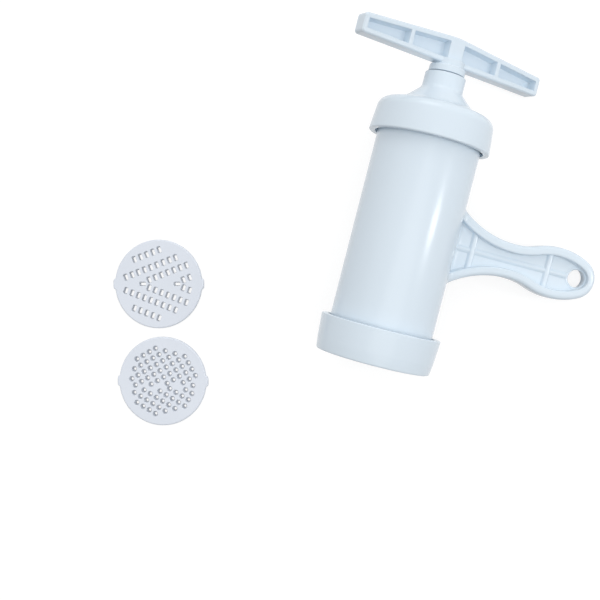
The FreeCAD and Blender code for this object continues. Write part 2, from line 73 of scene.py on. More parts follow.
# Dies
DIE_THICKNESS = 3.5
DIE_FACE = 3.0
DIE_RADIUS = 32.3
LUG_REACH = 33.7
LUG_WIDTH = 7.0
LUG_FILLET = 0.9                # the lug's fillet starts this far outside its width
LUG_RAMP = 1.6                  # and rises over this
HOLE_RADIUS = 1.5               # round-hole die
HOLE_PITCH = 5.3
HOLE_GRID_ANGLE = 30
HOLE_GRID_SHIFT = (0.38, 0.40)
HOLE_FIELD_RADIUS = 25.45
HOLE_FIELD_TOP = 24.0
HOLE_OVERRUN = 3.6              # the upper half of the pattern reaches this far past the midline
HOLE_LEAST_PITCH = 4.0          # a mirrored hole nearer than this to another is left out
SLOT_WIDTH = 2.6                # slotted die
SLOT_LENGTH = 4.5
SLOT_PITCH = 4.95
CHEVRON_ANGLE = 21
SLOT_ROWS = ((-17.9, 17.8, 5), (-24.2, 4.9, 9), (-6.9, 2.9, 7), (18.6, 2.9, 2))  # start and number of slots
MIDLINE_SLOTS_AT = (-11.6, 14.0)
STRAND_SIDE = 2.6               # fitted die: square holes in rings
STRAND_RING_STEP = 8.2
STRAND_RINGS = 3
SLOTTED_DIE_PLACE = (-165.0, 11.8)
ROUND_DIE_PLACE = (-144.4, -56.0)
SPARE_DIE_TURN = 14.3

# Drive screw and plunger screw
SCREW_LEAD = 10.0
SCREW_STARTS = 2
SCREW_CREST = 11.0
SCREW_ROOT = 9.3
SCREW_SHOULDER = 25.15
SCREW_CHAMFER = 2.2
JOURNAL_END = 12.85
JOURNAL_RADIUS = 7.0
COLLAR_FOOT = 197.5
TANG_SIDE = 13.0
TANG_LENGTH = 7.2
CRANK_ANGLE = 16.0
HEAD_RADIUS = 4.2
HEAD_HEIGHT = 2.6
FLANGE_RADIUS = 9.2
FLANGE_THICKNESS = 1.2
FASTENER_RADIUS = 1.9
FASTENER_LENGTH = 14

# Side handle
HANDLE_LEVEL = 88.4
HANDLE_REACH = 136.5
HANDLE_THICKNESS = 13.0
HANDLE_EDGE = 1.8
HANDLE_ROOT = 25.5              # half widths: where it leaves the barrel, at the waist and at the bulge
HANDLE_WAIST = 11.9
HANDLE_BULGE = 17.6
WAIST_AT = 75.17                # their distances from the screw's axis
BULGE_AT = 107.57
HANDLE_RIM = 6.0                # width of the raised border
HANDLE_WEB = 3.5                # thickness of the plate between the borders
CROSS_RIBS_AT = (47.38, 102.4)
RIB_TOP = 3.5                   # half the thickness over the ribs
LONG_RIB_LENGTH = 82.4
HANG_HOLE_AT = 124.4
HANG_HOLE_RADIUS = 6.0
HANG_BOSS_RADIUS = 8.2
HANG_BOSS_TOP = 2.1             # half the thickness over the boss


def lying_angle():
    """The side handle's droop, in radians, when its tip and the two rims touch the table."""
    reach = HANDLE_REACH - HANDLE_EDGE
    half = HANDLE_THICKNESS / 2
    return math.asin(RIM_RADIUS / math.hypot(reach, half)) - math.atan2(half, reach)


droop = lying_angle()
to_row = Matrix((
    (math.cos(droop), -math.sin(droop), 0, 0),
    (0, 0, 1, 0),
    (-math.sin(droop), -math.cos(droop), 0, 0),
    (0, 0, 0, 1),
)) @ Matrix.Scale(MM, 4)


def beside(place):
    """Lays a die, drawn flat on level 0, on the table beside the press."""
    turn = Matrix.Rotation(math.radians(SPARE_DIE_TURN), 4, "Z")
    return Matrix.Translation((place[0] * MM, place[1] * MM, -RIM_RADIUS * MM)) @ turn @ Matrix.Scale(MM, 4)


# ---------------------------------------------------------------- mesh helpers

def new_object(name, data):
    made = bpy.data.objects.new(name, data)
    bpy.context.scene.collection.objects.link(made)
    return made


def from_bmesh(name, bm, recalculate=True):
    """A new object from a bmesh, which is used up."""
    if recalculate:
        bmesh.ops.recalc_face_normals(bm, faces=bm.faces)
    mesh = bpy.data.meshes.new(name)
    bm.to_mesh(mesh)
    bm.free()
    return new_object(name, mesh)


def smooth(obj, degrees=35):
    """Smooth shading, apart from the edges sharper than an angle."""
    mesh = obj.data
    mesh.polygons.foreach_set("use_smooth", [True] * len(mesh.polygons))
    mesh.set_sharp_from_angle(angle=math.radians(degrees))
    return obj


def baked(obj):
    """Applies an object's modifiers to its mesh."""
    bpy.context.view_layer.update()
    graph = bpy.context.evaluated_depsgraph_get()
    mesh = bpy.data.meshes.new_from_object(obj.evaluated_get(graph))
    obj.modifiers.clear()
    old = obj.data
    obj.data = mesh
    bpy.data.meshes.remove(old)
    mesh.name = obj.name
    return obj


def combined(obj, other, operation):
    """A boolean of two closed meshes; the second is used up."""
    change = obj.modifiers.new("shape", "BOOLEAN")
    change.operation = operation
    change.solver = "EXACT"
    change.object = other
    baked(obj)
    bpy.data.objects.remove(other)
    return obj


def moved(obj, matrix):
    """Moves the mesh itself; the object stays at the origin."""
    obj.data.transform(matrix)
    return obj


def polar(radius, angle):
    """The point (x, y) at a radius and an angle."""
    return radius * math.cos(angle), radius * math.sin(angle)


def circle_angles(steps):
    return [2 * math.pi * step / steps for step in range(steps)]


def band(bm, one, two):
    """The faces between two closed rows of as many vertices."""
    faces = []
    for i in range(len(one)):
        j = (i + 1) % len(one)
        faces.append(bm.faces.new((one[i], one[j], two[j], two[i])))
    return faces


def rounded(corners, finest=0.35):
    """The corners (u, v, rounding) as a closed row of points, with each rounding as a tangent arc."""
    points = []
    for index, (u, v, rounding) in enumerate(corners):
        here = Vector((u, v))
        before = Vector(corners[index - 1][:2])
        after = Vector(corners[(index + 1) % len(corners)][:2])
        if rounding == 0:
            points.append(here)
            continue
        back = (before - here).normalized()
        ahead = (after - here).normalized()
        half = back.angle(ahead) / 2
        centre = here + (back + ahead).normalized() * (rounding / math.sin(half))
        start = here + back * (rounding / math.tan(half)) - centre
        turn = math.pi - 2 * half
        sense = 1 if start.x * (here - centre).y - start.y * (here - centre).x > 0 else -1
        steps = max(3, math.ceil(turn * rounding / finest / 2), math.ceil(turn / 0.2))
        for step in range(steps + 1):
            angle = sense * turn * step / steps
            points.append(centre + Vector((start.x * math.cos(angle) - start.y * math.sin(angle),
                                           start.x * math.sin(angle) + start.y * math.cos(angle))))
    return points


def lathe(name, corners, steps=144):
    """A closed mesh turned about Z from the corners (radius, level, rounding) of a half section."""
    bm = bmesh.new()
    rows = []
    for point in rounded(corners):
        if point.x < 1e-6:
            rows.append([bm.verts.new((0, 0, point.y))])
        else:
            rows.append([bm.verts.new((*polar(point.x, angle), point.y)) for angle in circle_angles(steps)])
    for index, row in enumerate(rows):
        other = rows[(index + 1) % len(rows)]
        if len(row) == 1 and len(other) == 1:
            continue
        for i in range(steps):
            j = (i + 1) % steps
            corner = [row[i % len(row)], row[j % len(row)], other[j % len(other)], other[i % len(other)]]
            face = []
            for vertex in corner:
                if vertex not in face:
                    face.append(vertex)
            bm.faces.new(face)
    return from_bmesh(name, bm)


def prism(name, outline, foot, top):
    """A closed upright prism over a row of (x, y) points."""
    bm = bmesh.new()
    low = [bm.verts.new((x, y, foot)) for x, y in outline]
    high = [bm.verts.new((x, y, top)) for x, y in outline]
    bm.faces.new(low)
    bm.faces.new(high)
    band(bm, low, high)
    return from_bmesh(name, bm)


def softened(node, name, width, segments=3, degrees=28):
    """A copy of a CAD node with its flat faces whole again and its edges rounded."""
    bm = bmesh.new()
    bm.from_mesh(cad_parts[node].data)
    bmesh.ops.remove_doubles(bm, verts=bm.verts, dist=2e-6)
    bmesh.ops.dissolve_limit(bm, angle_limit=math.radians(0.8), verts=bm.verts, edges=bm.edges)
    piece = from_bmesh(name, bm)
    edge = piece.modifiers.new("edges", "BEVEL")
    edge.width = width * MM
    edge.segments = segments
    edge.limit_method = "ANGLE"
    edge.angle_limit = math.radians(degrees)
    edge.loop_slide = False
    edge.use_clamp_overlap = False
    baked(piece)
    smooth(piece, 40)
    flat = piece.modifiers.new("normals", "WEIGHTED_NORMAL")
    flat.keep_sharp = True
    return baked(piece)


def ridge(name, wall, foot, turns, start_angle, outwards=True):
    """A helical thread ridge on a wall of the given radius, tapering away at both ends."""
    per_turn = 96
    base, crest = 3.0, 1.3      # widths of the ridge
    sunk = 0.4                  # how far it reaches into the wall
    bm = bmesh.new()
    count = round(turns * per_turn)
    sections = []
    for step in range(count + 1):
        angle = start_angle + 2 * math.pi * step / per_turn
        level = foot + RING_PITCH * step / per_turn
        run = min(step, count - step) / (per_turn / 6)
        rise = THREAD_HEIGHT * min(1.0, run) if run > 0 else 0.02
        sign = 1 if outwards else -1
        section = [(wall - sign * sunk, -base / 2), (wall, -base / 2), (wall + sign * rise, -crest / 2),
                   (wall + sign * rise, crest / 2), (wall, base / 2), (wall - sign * sunk, base / 2)]
        sections.append([bm.verts.new((*polar(radius, angle), level + lift)) for radius, lift in section])
    for one, two in zip(sections, sections[1:]):
        band(bm, one, two)
    bm.faces.new(sections[0])
    bm.faces.new(sections[-1])
    return from_bmesh(name, bm)


def joined(name, parts):
    """Several closed meshes as one object."""
    bm = bmesh.new()
    for part in parts:
        bm.from_mesh(part.data)
        bpy.data.objects.remove(part)
    return from_bmesh(name, bm, recalculate=False)


# ---------------------------------------------------------------- cap, retaining ring and barrel

FOOT_THREAD_FOOT = 8.0
TOP_THREAD_FOOT = CAP_RIM + 1.9
TOP_THREAD_START = 0.6          # angle, in radians


def make_cap():
    """The skirt, the rounded shoulder, the flare and the neck, with a thread inside the skirt."""
    shoulder, flare = BARREL_TOP + 5.0, BARREL_TOP + 7.0
    body = lathe("top_cap_moulding", [
        (SKIRT_RADIUS, CAP_RIM, 0.4),
        (RIM_RADIUS, CAP_RIM, 0.9),
        (SHOULDER_RADIUS, shoulder, 7.5),
        (FLARE_RADIUS, flare, 14.0),
        (NECK_RADIUS, NECK_FOOT, 5.0),
        (NECK_RADIUS, NECK_TOP, 0.9),
        (NECK_BORE, NECK_TOP, 0.4),
        (NECK_BORE, flare - CAP_WALL, 0.4),
        (FLARE_RADIUS, flare - CAP_WALL, 2.0),
        (FLARE_RADIUS, BARREL_TOP, 0.5),
        (SKIRT_RADIUS, BARREL_TOP, 0.5),
    ])
    thread = ridge("cap_thread", SKIRT_RADIUS, TOP_THREAD_FOOT + RING_PITCH / 2, turns=1.6,
                   start_angle=TOP_THREAD_START, outwards=False)
    return joined("top_cap_moulding", [body, thread])


def make_ring():
    """The lip round the outlet, the die's seat and the skirt with its thread; the outside swells in between."""
    body = lathe("retaining_ring_moulding", [
        (OUTLET_RADIUS, 0, 0.6),
        (RING_FOOT_RADIUS, 0, 1.3),
        (39.9, 8.0, 25.0),
        (RIM_RADIUS, RING_TOP, 0.8),
        (SKIRT_RADIUS, RING_TOP, 0.4),
        (SKIRT_RADIUS, SEAT_TOP, 0.3),
        (SEAT_RADIUS, SEAT_TOP, 0.3),
        (SEAT_RADIUS, DIE_FACE, 0.3),
        (OUTLET_RADIUS, DIE_FACE, 0.6),
    ])
    thread = ridge("ring_thread", SKIRT_RADIUS, FOOT_THREAD_FOOT + RING_PITCH / 2, turns=1.7,
                   start_angle=0.0, outwards=False)
    return joined("retaining_ring_moulding", [body, thread])


def make_barrel():
    """The tube, open at both ends, with a thread for the ring and one for the cap."""
    tube = lathe("barrel_moulding", [
        (CHAMBER_RADIUS, BARREL_FOOT, 0.6),
        (BARREL_RADIUS, BARREL_FOOT, 0.8),
        (BARREL_RADIUS, BARREL_TOP, 0.8),
        (CHAMBER_RADIUS, BARREL_TOP, 0.6),
    ])
    threads = [ridge("foot_thread", BARREL_RADIUS, FOOT_THREAD_FOOT, turns=2.2, start_angle=0.0),
               ridge("top_thread", BARREL_RADIUS, TOP_THREAD_FOOT, turns=2.0, start_angle=TOP_THREAD_START)]
    return joined("barrel_moulding", [tube] + threads)


# ---------------------------------------------------------------- side handle

def handle_side(inset):
    """Points (x, half width) of one side of the handle's outline, moved in, from the barrel to the tip.

    The arcs are those of the part's source. Each point keeps its place in the row whatever the inset, so
    rows of different insets can be joined by faces.
    """
    flare_run, flare_rise = WAIST_AT - BARREL_RADIUS, HANDLE_ROOT - HANDLE_WAIST
    flare = (flare_run ** 2 + flare_rise ** 2) / (2 * flare_rise)
    swell_run, swell_rise = BULGE_AT - WAIST_AT, HANDLE_BULGE - HANDLE_WAIST
    swell = (swell_run ** 2 + swell_rise ** 2) / (4 * swell_rise)
    tip_run = HANDLE_REACH - BULGE_AT
    tip = (swell ** 2 - (swell - HANDLE_BULGE) ** 2 - tip_run ** 2) / (2 * (swell - tip_run))
    flare_centre = Vector((WAIST_AT, HANDLE_WAIST + flare))
    waist_centre = Vector((WAIST_AT, HANDLE_WAIST + swell))
    bulge_centre = Vector((BULGE_AT, HANDLE_BULGE - swell))
    tip_centre = Vector((HANDLE_REACH - tip, 0))
    lean = math.atan2(swell_run, waist_centre.y - bulge_centre.y)
    shoulder = math.atan2(-bulge_centre.y, tip_centre.x - BULGE_AT)
    root_x = BARREL_RADIUS - 1.6    # sunk in the barrel's wall

    right = math.pi / 2
    first = math.acos((root_x - flare_centre.x) / (flare + inset))
    arcs = (
        (flare_centre, flare + inset, [-first + (first - right) * (step / 28) ** 1.5 for step in range(28)]),
        (waist_centre, swell + inset, [-right + lean * step / 12 for step in range(12)]),
        (bulge_centre, swell - inset, [right + lean + (shoulder - right - lean) * step / 24 for step in range(24)]),
        (tip_centre, tip - inset, [shoulder * (1 - step / 22) for step in range(23)]),
    )
    return [centre + Vector(polar(1, angle)) * radius for centre, radius, angles in arcs for angle in angles]


def handle_section():
    """The border's section over the middle plane, from outside to the web: (inset, height)."""
    half, web = HANDLE_THICKNESS / 2, HANDLE_WEB / 2
    outer, inner, foot = 2.6, 0.9, 0.6      # roundings
    section = []
    for step in range(7):
        angle = math.pi / 2 * step / 6
        section.append((outer * (1 - math.cos(angle)), half - outer * (1 - math.sin(angle))))
    for step in range(5):
        angle = math.pi / 2 * step / 4
        section.append((HANDLE_RIM - inner * (1 - math.sin(angle)), half - inner * (1 - math.cos(angle))))
    for step in range(4):
        angle = math.pi / 2 * step / 3
        section.append((HANDLE_RIM + 0.25 + foot * (1 - math.cos(angle)), web + foot * (1 - math.sin(angle))))
    return section


def root_fillet(x, height, radius=4.0):
    """The height of a face near the barrel, where it sweeps up into the barrel's wall."""
    centre_x = math.sqrt((BARREL_RADIUS + radius) ** 2 - (height + radius) ** 2)
    run = min(centre_x - x, centre_x * radius / (BARREL_RADIUS + radius))
    if run <= 0:
        return height
    return height + radius - math.sqrt(radius ** 2 - run ** 2)


def make_handle_plate():
    """The handle's plate and raised border, mirrored about its middle plane and its centre line."""
    section = handle_section()
    sides = [handle_side(inset) for inset, height in section]
    count = len(sides[0])
    bm = bmesh.new()
    rows = {}
    for face in (1, -1):
        for level, (side, (inset, height)) in enumerate(zip(sides, section)):
            upper = [bm.verts.new((p.x, face * root_fillet(p.x, height), HANDLE_LEVEL + p.y)) for p in side]
            lower = [bm.verts.new((p.x, face * root_fillet(p.x, height), HANDLE_LEVEL - p.y)) for p in side[:-1]]
            rows[face, level] = upper + lower[::-1]
    last = len(section) - 1
    for face in (1, -1):
        for level in range(last):
            for one, two in zip(range(2 * count - 2), range(1, 2 * count - 1)):
                near, far = rows[face, level], rows[face, level + 1]
                bm.faces.new((near[one], near[two], far[two], far[one]))
        web = rows[face, last]
        for step in range(count - 1):
            other = 2 * count - 2 - step
            corners = [web[step], web[step + 1], web[other - 1], web[other]]
            bm.faces.new(corners if corners[1] is not corners[2] else corners[:2] + corners[3:])
    for one, two in zip(range(2 * count - 2), range(1, 2 * count - 1)):
        bm.faces.new((rows[1, 0][one], rows[1, 0][two], rows[-1, 0][two], rows[-1, 0][one]))
    end = [rows[1, level][0] for level in range(last, -1, -1)] + [rows[-1, level][0] for level in range(last + 1)]
    end += [rows[-1, level][-1] for level in range(last, -1, -1)] + [rows[1, level][-1] for level in range(last + 1)]
    bm.faces.new(end)
    return from_bmesh("side_handle_moulding", bm)


def rib(length, half_width, flank, top):
    """A low rib along X on both faces of the web, sunk in it, with slanting flanks and a rounded crest."""
    web = HANDLE_WEB / 2
    section = [(half_width + flank + 0.4, web - 0.4), (half_width + flank, web + 0.1),
               (half_width + flank * 0.75, web + 0.4), (half_width, top - 0.35),
               (half_width - 0.4, top - 0.08), (0, top)]
    loop = section + [(-w, y) for w, y in section[-2::-1]]
    loop += [(-w, -y) for w, y in section] + [(w, -y) for w, y in section[-2::-1]]
    bm = bmesh.new()
    ends = [[bm.verts.new((x, y, w)) for w, y in loop] for x in (0, length)]
    band(bm, *ends)
    bm.faces.new(ends[0])
    bm.faces.new(ends[1])
    return from_bmesh("rib", bm)


def make_handle():
    """The bordered plate with a lengthwise rib, two cross ribs and the boss round the hang hole."""
    handle = make_handle_plate()
    at_hole = Matrix.Translation((HANG_HOLE_AT, 0, HANDLE_LEVEL)) @ Matrix.Rotation(math.pi / 2, 4, "X")
    radius, through = HANG_HOLE_RADIUS + 1, 9
    hole = moved(lathe("hole", [(0, -through, 0), (radius, -through, 0), (radius, through, 0), (0, through, 0)], 64),
                 at_hole)
    lengthwise = moved(rib(LONG_RIB_LENGTH, 1.0, 1.0, RIB_TOP - 0.5),
                       Matrix.Translation((BARREL_RADIUS - 0.8, 0, HANDLE_LEVEL)))
    combined(handle, lengthwise, "UNION")
    for x in CROSS_RIBS_AT:
        half = handle_half_width(x) - HANDLE_RIM / 2
        across = moved(rib(2 * half, 1.5, 0.9, RIB_TOP), Matrix.Translation((x, 0, HANDLE_LEVEL - half))
                       @ Matrix.Rotation(-math.pi / 2, 4, "Y"))
        combined(handle, across, "UNION")
    combined(handle, hole, "DIFFERENCE")
    boss = lathe("boss", [
        (HANG_HOLE_RADIUS, -HANG_BOSS_TOP, 1.2),
        (HANG_BOSS_RADIUS, -HANG_BOSS_TOP, 0.9),
        (HANG_BOSS_RADIUS, HANG_BOSS_TOP, 0.9),
        (HANG_HOLE_RADIUS, HANG_BOSS_TOP, 1.2),
    ], 72)
    return joined("side_handle_moulding", [handle, moved(boss, at_hole)])


def handle_half_width(x):
    """Half the handle's width at a distance from the screw's axis."""
    side = handle_side(0)
    for near, far in zip(side, side[1:]):
        if near.x <= x <= far.x:
            return near.y + (far.y - near.y) * (x - near.x) / (far.x - near.x)


# ---------------------------------------------------------------- drive screw

def threaded_rod(foot, top, root, crest, starts, lead):
    """A closed rod with a trapezoidal right-hand thread, running past both levels."""
    columns = 72
    pitch = lead / starts
    section = [(0.0, root), (0.28 * pitch, root), (0.5 * pitch, crest), (0.78 * pitch, crest)]
    rows = []
    level = foot - 2 * lead
    while level < top + lead:
        rows += [(level + along, radius) for along, radius in section]
        level += pitch
    shift = len(section) * starts
    bm = bmesh.new()
    grid = []
    for column, angle in enumerate(circle_angles(columns)):
        climb = lead * column / columns
        grid.append([bm.verts.new((*polar(radius, angle), along + climb)) for along, radius in rows])
    for column in range(columns - 1):
        for row in range(len(rows) - 1):
            bm.faces.new((grid[column][row], grid[column + 1][row], grid[column + 1][row + 1], grid[column][row + 1]))
    first, last = grid[0], grid[-1]
    for row in range(len(rows) - 1 - shift):
        bm.faces.new((last[row], first[row + shift], first[row + shift + 1], last[row + 1]))
    open_edges = [edge for edge in bm.edges if len(edge.link_faces) == 1]
    middle = foot + (top - foot) / 2
    for side in (-1, 1):
        loop = [edge for edge in open_edges if (edge.verts[0].co.z - middle) * side > 0]
        centre = bm.verts.new((0, 0, sum(edge.verts[0].co.z for edge in loop) / len(loop)))
        for edge in loop:
            bm.faces.new((edge.verts[0], edge.verts[1], centre))
    return from_bmesh("thread", bm)


def make_screw():
    """The threaded rod with chamfered ends, its journal, its shank through the collar and its square tang."""
    rod = threaded_rod(SCREW_SHOULDER, NECK_TOP, SCREW_ROOT, SCREW_CREST, SCREW_STARTS, SCREW_LEAD)
    outside = SCREW_CREST + 0.4
    envelope = lathe("envelope", [
        (0, SCREW_SHOULDER, 0),
        (outside - SCREW_CHAMFER, SCREW_SHOULDER, 0),
        (outside, SCREW_SHOULDER + SCREW_CHAMFER, 0),
        (outside, NECK_TOP - SCREW_CHAMFER, 0),
        (outside - SCREW_CHAMFER, NECK_TOP, 0),
        (0, NECK_TOP, 0),
    ], 96)
    combined(rod, envelope, "INTERSECT")
    core = lathe("core", [
        (0, JOURNAL_END, 0),
        (JOURNAL_RADIUS, JOURNAL_END, 0.4),
        (JOURNAL_RADIUS, SCREW_SHOULDER + 2, 0),
        (9.0, SCREW_SHOULDER + 2, 0),
        (9.0, NECK_TOP - 2, 0),
        (9.2, NECK_TOP - 0.5, 0),
        (9.2, COLLAR_FOOT + 0.05, 0),
        (0, COLLAR_FOOT + 0.05, 0),
    ], 96)
    combined(rod, core, "UNION")
    half = TANG_SIDE / 2
    tang = prism("tang", [(-half, -half), (half, -half), (half, half), (-half, half)], COLLAR_FOOT,
                 COLLAR_FOOT + TANG_LENGTH)
    moved(tang, Matrix.Rotation(math.radians(CRANK_ANGLE), 4, "Z"))
    combined(rod, tang, "UNION")
    rod.name = rod.data.name = "drive_screw_threaded"
    return rod


# ---------------------------------------------------------------- dies

# How holes grow from level to level, from the lower face to the upper one: (growth, level)
HOLE_FLARE = ((-0.45, 0.0), (-0.6, 0.25), (-0.5, 1.0), (0.35, 2.9), (0.5, 3.3), (0.65, 3.5))
SLOT_FLARE = ((-0.25, 0.0), (-0.4, 0.25), (-0.3, 1.0), (0.15, 2.9), (0.25, 3.3), (0.4, 3.5))
FINE_FLARE = ((0.4, 0.0), (0.15, 0.3), (0.0, 0.8), (-0.1, 2.9), (0.0, 3.25), (0.25, 3.5))


def die_outline(inset):
    """The rim of a die, with a lug at each end of its X axis that runs into the rim in small fillets."""
    foot = LUG_WIDTH / 2 + LUG_FILLET
    points = []
    for angle in circle_angles(240):
        off = abs(math.sin(angle)) * DIE_RADIUS
        ramp = min(1.0, max(0.0, (foot - off) / LUG_RAMP))
        rise = (LUG_REACH - DIE_RADIUS) * ramp * ramp * (3 - 2 * ramp)
        points.append(polar(DIE_RADIUS + rise - inset, angle))
    return points


def rim_rounding(edge, steps=5):
    """The rim's section: (inset, level) from the lower face to the upper one."""
    section = []
    for step in range(steps + 1):
        angle = math.pi / 2 * step / steps
        section.append((edge * (1 - math.sin(angle)), edge * (1 - math.cos(angle))))
    return section + [(inset, DIE_THICKNESS - level) for inset, level in section[::-1]]


def die_plate(name, hole_at, places, flare):
    """A die: two flat faces, a rounded rim and flared holes. hole_at(growth, place) gives a hole's outline."""
    bm = bmesh.new()
    walls = [[[bm.verts.new((x, y, level)) for x, y in die_outline(inset)] for inset, level in rim_rounding(1.1)]]
    for place in places:
        walls.append([[bm.verts.new((x, y, level)) for x, y in hole_at(growth, place)] for growth, level in flare])
    for rows in walls:
        for low, high in zip(rows, rows[1:]):
            for face in band(bm, low, high):
                face.smooth = True
    for end, normal in ((0, (0, 0, -1)), (-1, (0, 0, 1))):
        edges = []
        for rows in walls:
            row = rows[end]
            edges += [bm.edges.get((row[i], row[(i + 1) % len(row)])) for i in range(len(row))]
        bmesh.ops.triangle_fill(bm, use_beauty=True, edges=edges, normal=normal)
    return from_bmesh(name, bm)


def round_hole(growth, place, steps=20):
    """Outline of a round hole at place (x, y), wider by a growth on every side; so are the two below."""
    ring = [polar(HOLE_RADIUS + growth, angle) for angle in circle_angles(steps)]
    return [(place[0] + x, place[1] + y) for x, y in ring]


def rounded_slot(width, length, corner, place):
    """Outline of a slot with rounded corners, at place (x, y, degrees)."""
    half_w, half_l = width / 2, length / 2
    corners = [(-half_w, -half_l, corner), (half_w, -half_l, corner),
               (half_w, half_l, corner), (-half_w, half_l, corner)]
    x, y, turn = place[0], place[1], math.radians(place[2])
    return [(x + p.x * math.cos(turn) - p.y * math.sin(turn), y + p.x * math.sin(turn) + p.y * math.cos(turn))
            for p in rounded(corners, 1.0)]


def slot(growth, place):
    return rounded_slot(SLOT_WIDTH + 2 * growth, SLOT_LENGTH + 2 * growth, 0.75 + 0.8 * growth, place)


def square_hole(growth, place):
    return rounded_slot(STRAND_SIDE + 2 * growth, STRAND_SIDE + 2 * growth, 0.5 + 0.5 * growth, place)


def round_hole_places():
    """A turned square grid over the upper half, and its mirror image below wherever that has room."""
    turn, upper = math.radians(HOLE_GRID_ANGLE), []
    for row in range(-9, 10):
        for column in range(-9, 10):
            along, across = (column + HOLE_GRID_SHIFT[0]) * HOLE_PITCH, (row + HOLE_GRID_SHIFT[1]) * HOLE_PITCH
            x = along * math.cos(turn) - across * math.sin(turn)
            y = along * math.sin(turn) + across * math.cos(turn)
            if -HOLE_OVERRUN <= y <= HOLE_FIELD_TOP and math.hypot(x, y) <= HOLE_FIELD_RADIUS:
                upper.append((x, y))
    return upper + [(x, -y) for x, y in upper
                    if min(math.hypot(x - u, -y - v) for u, v in upper) >= HOLE_LEAST_PITCH]


def slot_places():
    """Rows of slots in nested chevrons, alike above and below the midline."""
    lean, places = math.radians(CHEVRON_ANGLE), [(x, 0, 90) for x in MIDLINE_SLOTS_AT]
    for first_x, first_y, count in SLOT_ROWS:
        for step in range(count):
            x = first_x + step * SLOT_PITCH * math.cos(lean)
            y = first_y + step * SLOT_PITCH * math.sin(lean)
            places += [(x, y, CHEVRON_ANGLE), (x, -y, -CHEVRON_ANGLE)]
    return places


def square_hole_places():
    """One hole in the middle and rings of six, twelve and eighteen round it."""
    places = [(0, 0, 0)]
    for ring in range(1, STRAND_RINGS + 1):
        for step in range(6 * ring):
            angle = 60 * step / ring
            places.append((*polar(STRAND_RING_STEP * ring, math.radians(angle)), angle))
    return places


# ---------------------------------------------------------------- plunger screw

def make_plunger_screw():
    """A pan head with a cross recess on a wide flange, and a plain shank that tapers to a point."""
    flange = JOURNAL_END - FLANGE_THICKNESS
    half_length, half_width, tapered = HEAD_RADIUS / 2, 0.4, 1.5
    head = lathe("plunger_screw_detailed", [
        (0, flange - HEAD_HEIGHT, 0),
        (HEAD_RADIUS, flange - HEAD_HEIGHT, 1.5),
        (HEAD_RADIUS, flange, 0),
        (FLANGE_RADIUS, flange, 0.3),
        (FLANGE_RADIUS, JOURNAL_END, 0.3),
        (FASTENER_RADIUS, JOURNAL_END, 0),
        (FASTENER_RADIUS, JOURNAL_END + FASTENER_LENGTH - tapered, 0),
        (0, JOURNAL_END + FASTENER_LENGTH, 0),
    ], 72)
    for angle in (20, 110):
        recess = prism("recess", [(-half_length, -half_width), (half_length, -half_width),
                                  (half_length, half_width), (-half_length, half_width)],
                       flange - HEAD_HEIGHT - 0.9, flange - 1.2)
        moved(recess, Matrix.Rotation(math.radians(angle), 4, "Z"))
        combined(head, recess, "DIFFERENCE")
    return head


# ---------------------------------------------------------------- materials

def feed(tree, socket, value):
    """Gives an input its value, or links it when the value is another node's output."""
    if isinstance(value, bpy.types.NodeSocket):
        tree.links.new(value, socket)
    else:
        socket.default_value = value


def node_of(tree, kind, **inputs):
    """A new node with values or links for its inputs; From_Min stands for the input From Min."""
    made = tree.nodes.new(kind)
    for key, value in inputs.items():
        feed(tree, made.inputs[key.replace("_", " ")], value)
    return made


def maths(tree, operation, first, second, kind="ShaderNodeMath"):
    """The result of an operation on two values or outputs."""
    made = tree.nodes.new(kind)
    made.operation = operation
    feed(tree, made.inputs[0], first)
    feed(tree, made.inputs[1], second)
    return made.outputs["Value"]


def new_material(name):
    """A new material, its tree and its main shader."""
    material = bpy.data.materials.new(name)
    material.use_nodes = True
    return material, material.node_tree, material.node_tree.nodes["Principled BSDF"]


def place_of(tree, output="Object"):
    """The coordinates that patterns are laid out in."""
    return tree.nodes.new("ShaderNodeTexCoord").outputs[output]


def moulded_plastic(name, colour, deep, roughness, mottle_scale=9.0):
    """Glossy moulded plastic: soft clouding in the colour, a faint skin texture and fine handling marks."""
    material, tree, shader = new_material(name)
    where = place_of(tree)

    cloud = node_of(tree, "ShaderNodeTexNoise", Vector=where, Scale=mottle_scale, Detail=3.0, Roughness=0.5)
    tint = node_of(tree, "ShaderNodeValToRGB", Fac=cloud.outputs["Fac"])
    for stop, position, shade in zip(tint.color_ramp.elements, (0.35, 0.65), (deep, colour)):
        stop.position = position
        stop.color = (*shade, 1)
    feed(tree, shader.inputs["Base Color"], tint.outputs["Color"])

    stretch = node_of(tree, "ShaderNodeMapping", Vector=where, Scale=(900.0, 60.0, 900.0))
    marks = node_of(tree, "ShaderNodeTexNoise", Vector=stretch.outputs["Vector"],
                    Scale=1.0, Detail=2.0, Roughness=0.6)
    worn = node_of(tree, "ShaderNodeMapRange", Value=marks.outputs["Fac"], From_Min=0.45, From_Max=0.75,
                   To_Min=roughness, To_Max=roughness + 0.03)
    feed(tree, shader.inputs["Roughness"], worn.outputs["Result"])

    skin = node_of(tree, "ShaderNodeTexNoise", Vector=where, Scale=420.0, Detail=2.0, Roughness=0.5)
    bump = node_of(tree, "ShaderNodeBump", Height=skin.outputs["Fac"], Strength=0.05, Distance=0.0002)
    feed(tree, shader.inputs["Normal"], bump.outputs["Normal"])

    shader.inputs["IOR"].default_value = 1.49
    return material


